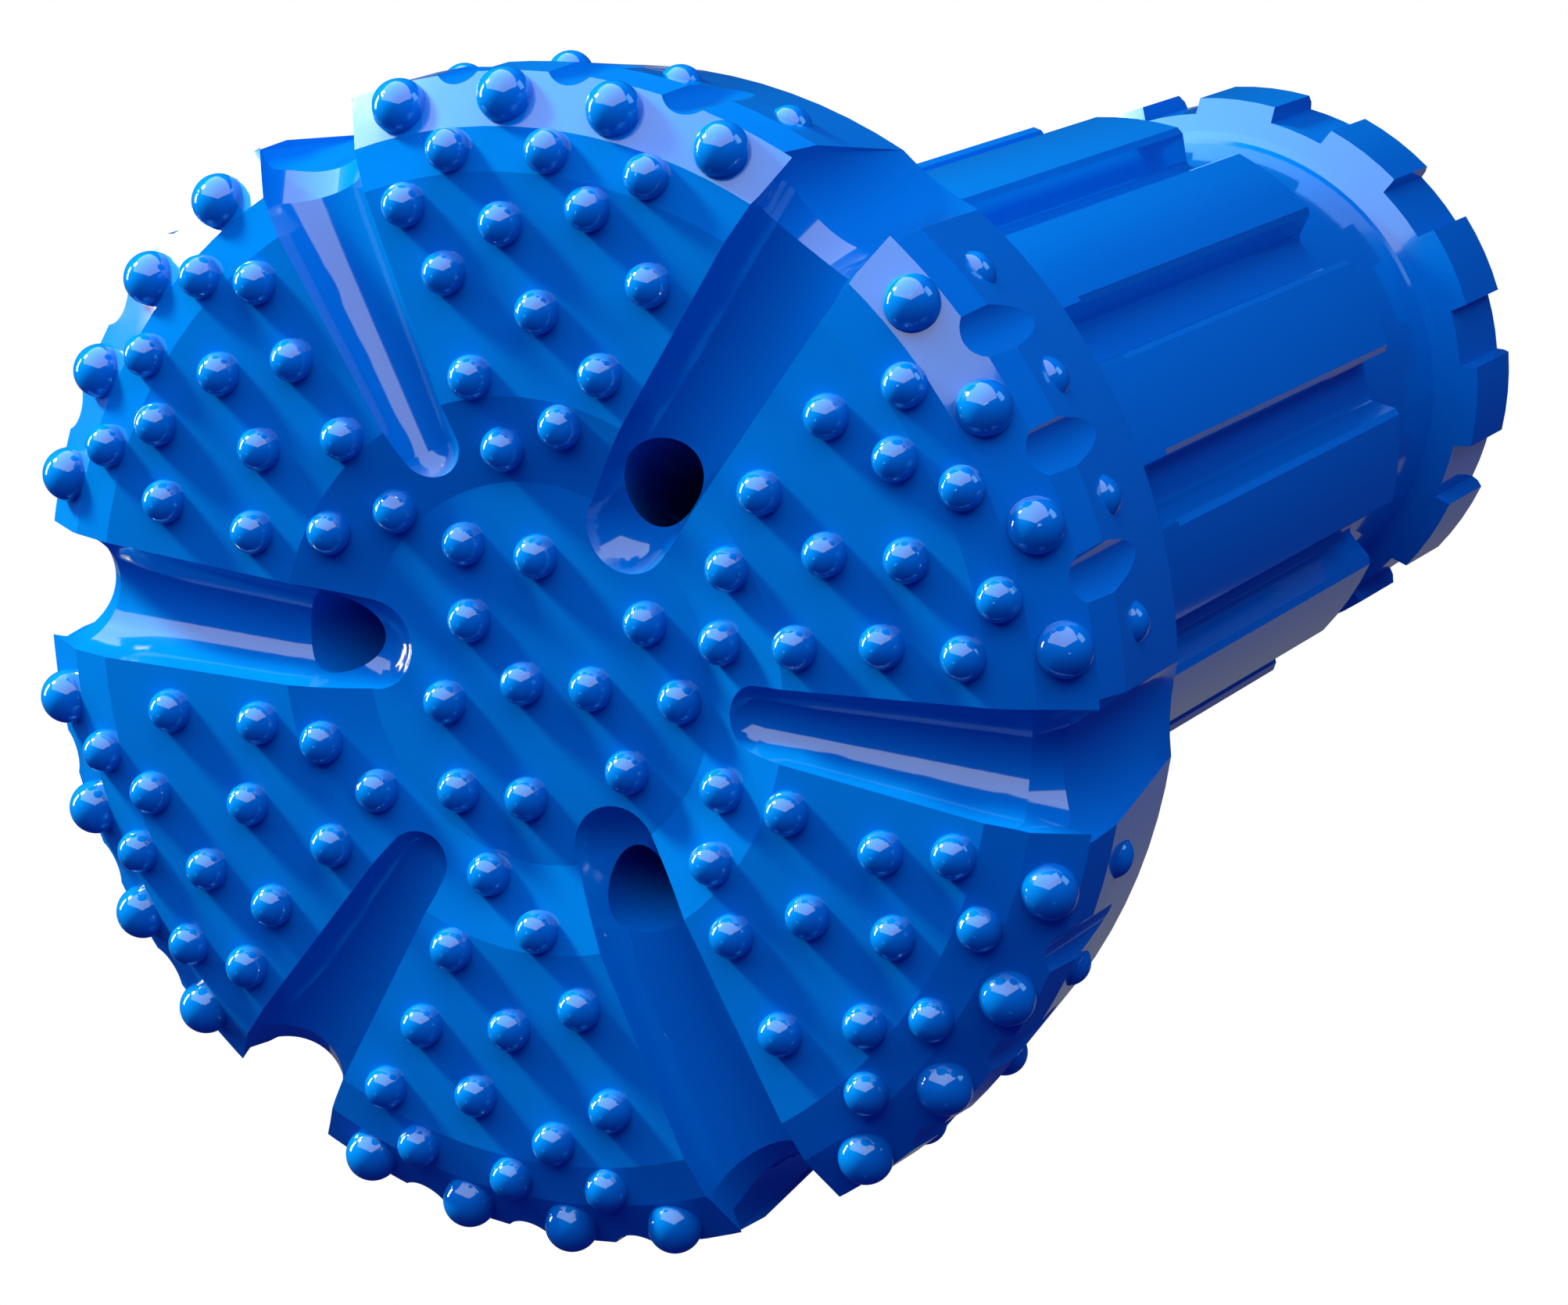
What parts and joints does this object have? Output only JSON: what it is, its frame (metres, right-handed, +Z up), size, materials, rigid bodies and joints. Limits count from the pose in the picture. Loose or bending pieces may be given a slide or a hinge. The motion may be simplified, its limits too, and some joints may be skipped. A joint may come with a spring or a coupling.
{
  "type": "down-the-hole hammer button bit",
  "caption": "Large down-the-hole button bit with domed inserts, radial flushing grooves and a splined, flanged shank.",
  "frame": {"origin": "centre of the strike face, on the bit axis, where the foot valve stands out", "axes": "+Y along the bit axis out of the strike face; -Y is the way the cutting face looks; +Z up as the bit lies on its side"},
  "size_m": [0.4286, 0.7597, 0.4314],
  "materials": {
    "bit_steel": "gloss",
    "button_carbide": "gloss",
    "valve_plastic": "satin"
  },
  "bodies": {
    "root": {"bit_body": "bit_steel", "centre_buttons": "button_carbide", "face_buttons_1": "button_carbide", "face_buttons_2": "button_carbide", "face_buttons_3": "button_carbide", "face_buttons_4": "button_carbide", "face_buttons_5": "button_carbide", "face_buttons_6": "button_carbide", "foot_valve": "valve_plastic", "gauge_buttons_1": "button_carbide", "gauge_buttons_2": "button_carbide", "gauge_buttons_3": "button_carbide", "gauge_buttons_4": "button_carbide", "gauge_buttons_5": "button_carbide", "gauge_buttons_6": "button_carbide", "shoulder_buttons_1": "button_carbide", "shoulder_buttons_2": "button_carbide", "shoulder_buttons_3": "button_carbide", "shoulder_buttons_4": "button_carbide", "shoulder_buttons_5": "button_carbide", "shoulder_buttons_6": "button_carbide", "side_buttons_1": "button_carbide", "side_buttons_2": "button_carbide", "side_buttons_3": "button_carbide", "side_buttons_4": "button_carbide", "side_buttons_5": "button_carbide", "side_buttons_6": "button_carbide"}
  },
  "joints": []
}
